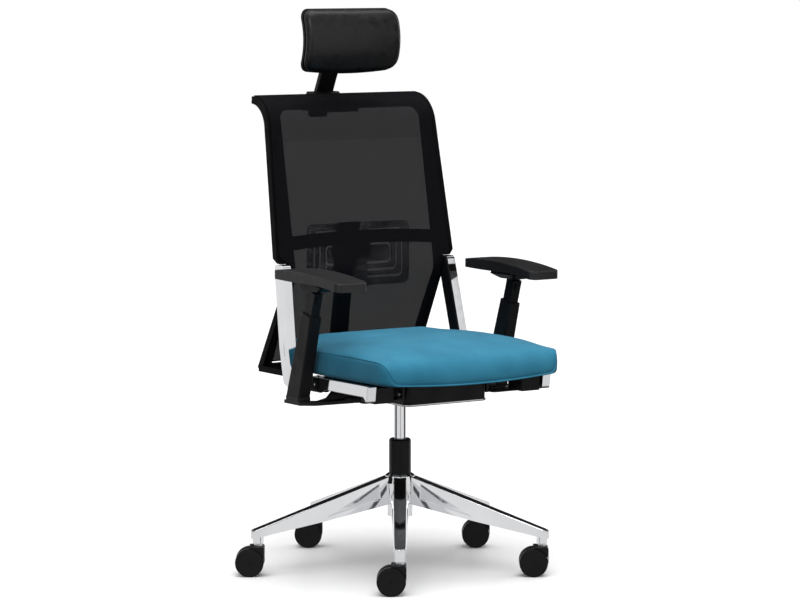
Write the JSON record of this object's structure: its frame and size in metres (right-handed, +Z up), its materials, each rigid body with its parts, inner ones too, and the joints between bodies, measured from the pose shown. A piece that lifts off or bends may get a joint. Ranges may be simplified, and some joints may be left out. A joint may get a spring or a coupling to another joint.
{
  "type": "swivel office chair",
  "caption": "Swivel task chair on a polished star base with twin-wheel casters, gas lift, synchro tilt seat, mesh back, headrest and adjustable arms.",
  "frame": {"origin": "on the swivel axis at floor level, where the wheels stand", "axes": "+Z up, the sitter faces -Y, +X is the sitter's left"},
  "size_m": [0.7156, 0.6879, 1.262],
  "materials": {
    "polished_aluminium": "mirror polished",
    "satin_aluminium": "satin",
    "steel": "bright",
    "black_steel": "satin black",
    "black_plastic": "fine grain",
    "caster_black": "satin black",
    "armrest_pad": "soft-touch",
    "teal_fabric": "fine woven wool",
    "back_mesh": "open knit mesh",
    "black_leather": "smooth"
  },
  "bodies": {
    "base": {"star_base": "polished_aluminium", "column_tube": "black_steel", "guide_bush": "black_plastic"},
    "swivel": {"piston_rod": "steel", "thrust_bearing": "steel"},
    "lift": {"gas_cylinder": "polished_aluminium", "mech_housing": "black_steel", "mech_plate": "satin_aluminium", "tilt_pin": "steel", "leaf_springs": "steel", "arm_brackets": "black_steel", "arm_bolts": "steel", "arm_sleeve_l": "black_plastic", "arm_sleeve_r": "black_plastic"},
    "valve": {"valve_pin": "steel"},
    "height_lever": {"height_lever": "black_plastic"},
    "depth_lever": {"depth_lever": "black_plastic"},
    "tilt_lever": {"tilt_lever": "black_plastic"},
    "seat": {"seat_carrier": "black_steel", "seat_rail_l": "polished_aluminium", "seat_rail_r": "polished_aluminium", "recline_pins": "steel"},
    "seat_slide": {"seat_pan": "black_plastic", "seat_cushion": "teal_fabric"},
    "back": {"upright_l": "polished_aluminium", "upright_r": "polished_aluminium", "upright_liners": "black_plastic", "back_frame": "black_plastic", "back_mesh": "back_mesh", "back_spine": "black_plastic", "headrest_bracket": "black_plastic"},
    "lumbar": {"lumbar_pad": "black_plastic", "lumbar_carriage": "black_plastic"},
    "head_post": {"headrest_post": "black_plastic", "headrest_pin": "steel"},
    "head": {"headrest_shell": "black_plastic", "headrest_cushion": "black_leather"},
    "arm_post_l": {"arm_post_l": "black_plastic"},
    "arm_button_l": {"arm_button_l": "black_plastic"},
    "arm_carriage_l": {"arm_carriage_l": "black_plastic"},
    "arm_pad_l": {"arm_pad_l": "armrest_pad"},
    "arm_post_r": {"arm_post_r": "black_plastic"},
    "arm_button_r": {"arm_button_r": "black_plastic"},
    "arm_carriage_r": {"arm_carriage_r": "black_plastic"},
    "arm_pad_r": {"arm_pad_r": "armrest_pad"},
    "caster_1": {"caster_stem_1": "steel", "caster_hood_1": "black_plastic"},
    "caster_wheels_1": {"caster_wheels_1": "caster_black"},
    "caster_2": {"caster_stem_2": "steel", "caster_hood_2": "black_plastic"},
    "caster_wheels_2": {"caster_wheels_2": "caster_black"},
    "caster_3": {"caster_stem_3": "steel", "caster_hood_3": "black_plastic"},
    "caster_wheels_3": {"caster_wheels_3": "caster_black"},
    "caster_4": {"caster_stem_4": "steel", "caster_hood_4": "black_plastic"},
    "caster_wheels_4": {"caster_wheels_4": "caster_black"},
    "caster_5": {"caster_stem_5": "steel", "caster_hood_5": "black_plastic"},
    "caster_wheels_5": {"caster_wheels_5": "caster_black"}
  },
  "joints": [
    {"name": "swivel", "type": "hinge", "parent": "base", "child": "swivel", "pos_m": [0, 0, 0.13], "axis": [0, 0, 1], "continuous": true},
    {"name": "seat_height", "type": "slide", "parent": "swivel", "child": "lift", "axis": [0, 0, 1], "range_m": [-0.06, 0.04]},
    {"name": "seat_tilt", "type": "hinge", "parent": "lift", "child": "seat", "pos_m": [0, -0.17, 0.424], "axis": [-1, 0, 0], "range_deg": [0, 6]},
    {"name": "recline", "type": "hinge", "parent": "seat", "child": "back", "pos_m": [0, -0.03, 0.44], "axis": [-1, 0, 0], "range_deg": [0, 12], "stiffness_Nm_per_rad": 120, "springref_deg": -34.38},
    {"name": "seat_depth", "type": "slide", "parent": "seat", "child": "seat_slide", "axis": [0, -1, 0], "range_m": [0, 0.05]},
    {"name": "lumbar_height", "type": "slide", "parent": "back", "child": "lumbar", "axis": [0, -0.1423, 0.9898], "range_m": [-0.025, 0.025]},
    {"name": "headrest_height", "type": "slide", "parent": "back", "child": "head_post", "axis": [0, -0.4384, 0.8988], "range_m": [-0.02, 0.05]},
    {"name": "headrest_tilt", "type": "hinge", "parent": "head_post", "child": "head", "pos_m": [0, 0.258, 1.19], "axis": [1, 0, 0], "range_deg": [-20, 15]},
    {"name": "height_lever", "type": "hinge", "parent": "lift", "child": "height_lever", "pos_m": [-0.108, -0.086, 0.41], "axis": [1, 0, 0], "range_deg": [0, 15], "stiffness_Nm_per_rad": 0.8},
    {"name": "valve_press", "type": "slide", "parent": "lift", "child": "valve", "axis": [0, 0, -1], "range_m": [0, 0.003]},
    {"name": "depth_lever", "type": "hinge", "parent": "lift", "child": "depth_lever", "pos_m": [-0.108, -0.14, 0.41], "axis": [1, 0, 0], "range_deg": [0, 15], "stiffness_Nm_per_rad": 0.8},
    {"name": "tilt_lever", "type": "hinge", "parent": "lift", "child": "tilt_lever", "pos_m": [0.108, -0.14, 0.41], "axis": [1, 0, 0], "range_deg": [0, 25]},
    {"name": "arm_height_l", "type": "slide", "parent": "lift", "child": "arm_post_l", "axis": [0, -0.2924, 0.9563], "range_m": [-0.03, 0.05]},
    {"name": "arm_button_l", "type": "slide", "parent": "arm_post_l", "child": "arm_button_l", "axis": [0, 0.9563, 0.2924], "range_m": [0, 0.002], "stiffness_N_per_m": 500},
    {"name": "arm_slide_l", "type": "slide", "parent": "arm_post_l", "child": "arm_carriage_l", "axis": [0, -1, 0], "range_m": [-0.005, 0.035]},
    {"name": "arm_turn_l", "type": "hinge", "parent": "arm_carriage_l", "child": "arm_pad_l", "pos_m": [0.258, -0.065, 0.668], "axis": [0, 0, 1], "range_deg": [-12, 12]},
    {"name": "arm_height_r", "type": "slide", "parent": "lift", "child": "arm_post_r", "axis": [0, -0.2924, 0.9563], "range_m": [-0.03, 0.05]},
    {"name": "arm_button_r", "type": "slide", "parent": "arm_post_r", "child": "arm_button_r", "axis": [0, 0.9563, 0.2924], "range_m": [0, 0.002], "stiffness_N_per_m": 500},
    {"name": "arm_slide_r", "type": "slide", "parent": "arm_post_r", "child": "arm_carriage_r", "axis": [0, -1, 0], "range_m": [-0.005, 0.035]},
    {"name": "arm_turn_r", "type": "hinge", "parent": "arm_carriage_r", "child": "arm_pad_r", "pos_m": [-0.258, -0.065, 0.668], "axis": [0, 0, -1], "range_deg": [-12, 12]},
    {"name": "caster_swivel_1", "type": "hinge", "parent": "base", "child": "caster_1", "pos_m": [-0.18677, -0.2769, 0.08], "axis": [0, 0, 1], "continuous": true},
    {"name": "wheel_spin_1", "type": "hinge", "parent": "caster_1", "child": "caster_wheels_1", "pos_m": [-0.20252, -0.26627, 0.032], "axis": [-0.5592, -0.829, 0], "continuous": true},
    {"name": "caster_swivel_2", "type": "hinge", "parent": "base", "child": "caster_2", "pos_m": [0.20563, -0.2632, 0.08], "axis": [0, 0, 1], "continuous": true},
    {"name": "wheel_spin_2", "type": "hinge", "parent": "caster_2", "child": "caster_wheels_2", "pos_m": [0.18988, -0.25257, 0.032], "axis": [-0.5592, -0.829, 0], "continuous": true},
    {"name": "caster_swivel_3", "type": "hinge", "parent": "base", "child": "caster_3", "pos_m": [0.31386, 0.11424, 0.08], "axis": [0, 0, 1], "continuous": true},
    {"name": "wheel_spin_3", "type": "hinge", "parent": "caster_3", "child": "caster_wheels_3", "pos_m": [0.29811, 0.12486, 0.032], "axis": [-0.5592, -0.829, 0], "continuous": true},
    {"name": "caster_swivel_4", "type": "hinge", "parent": "base", "child": "caster_4", "pos_m": [-0.01166, 0.3338, 0.08], "axis": [0, 0, 1], "continuous": true},
    {"name": "wheel_spin_4", "type": "hinge", "parent": "caster_4", "child": "caster_wheels_4", "pos_m": [-0.02741, 0.34442, 0.032], "axis": [-0.5592, -0.829, 0], "continuous": true},
    {"name": "caster_swivel_5", "type": "hinge", "parent": "base", "child": "caster_5", "pos_m": [-0.32106, 0.09206, 0.08], "axis": [0, 0, 1], "continuous": true},
    {"name": "wheel_spin_5", "type": "hinge", "parent": "caster_5", "child": "caster_wheels_5", "pos_m": [-0.33681, 0.10269, 0.032], "axis": [-0.5592, -0.829, 0], "continuous": true}
  ],
  "couplings": [
    {"joint": "seat_tilt", "follows": "recline", "ratio": 0.5},
    {"joint": "valve_press", "follows": "height_lever", "m_per_rad": 0.011459}
  ]
}
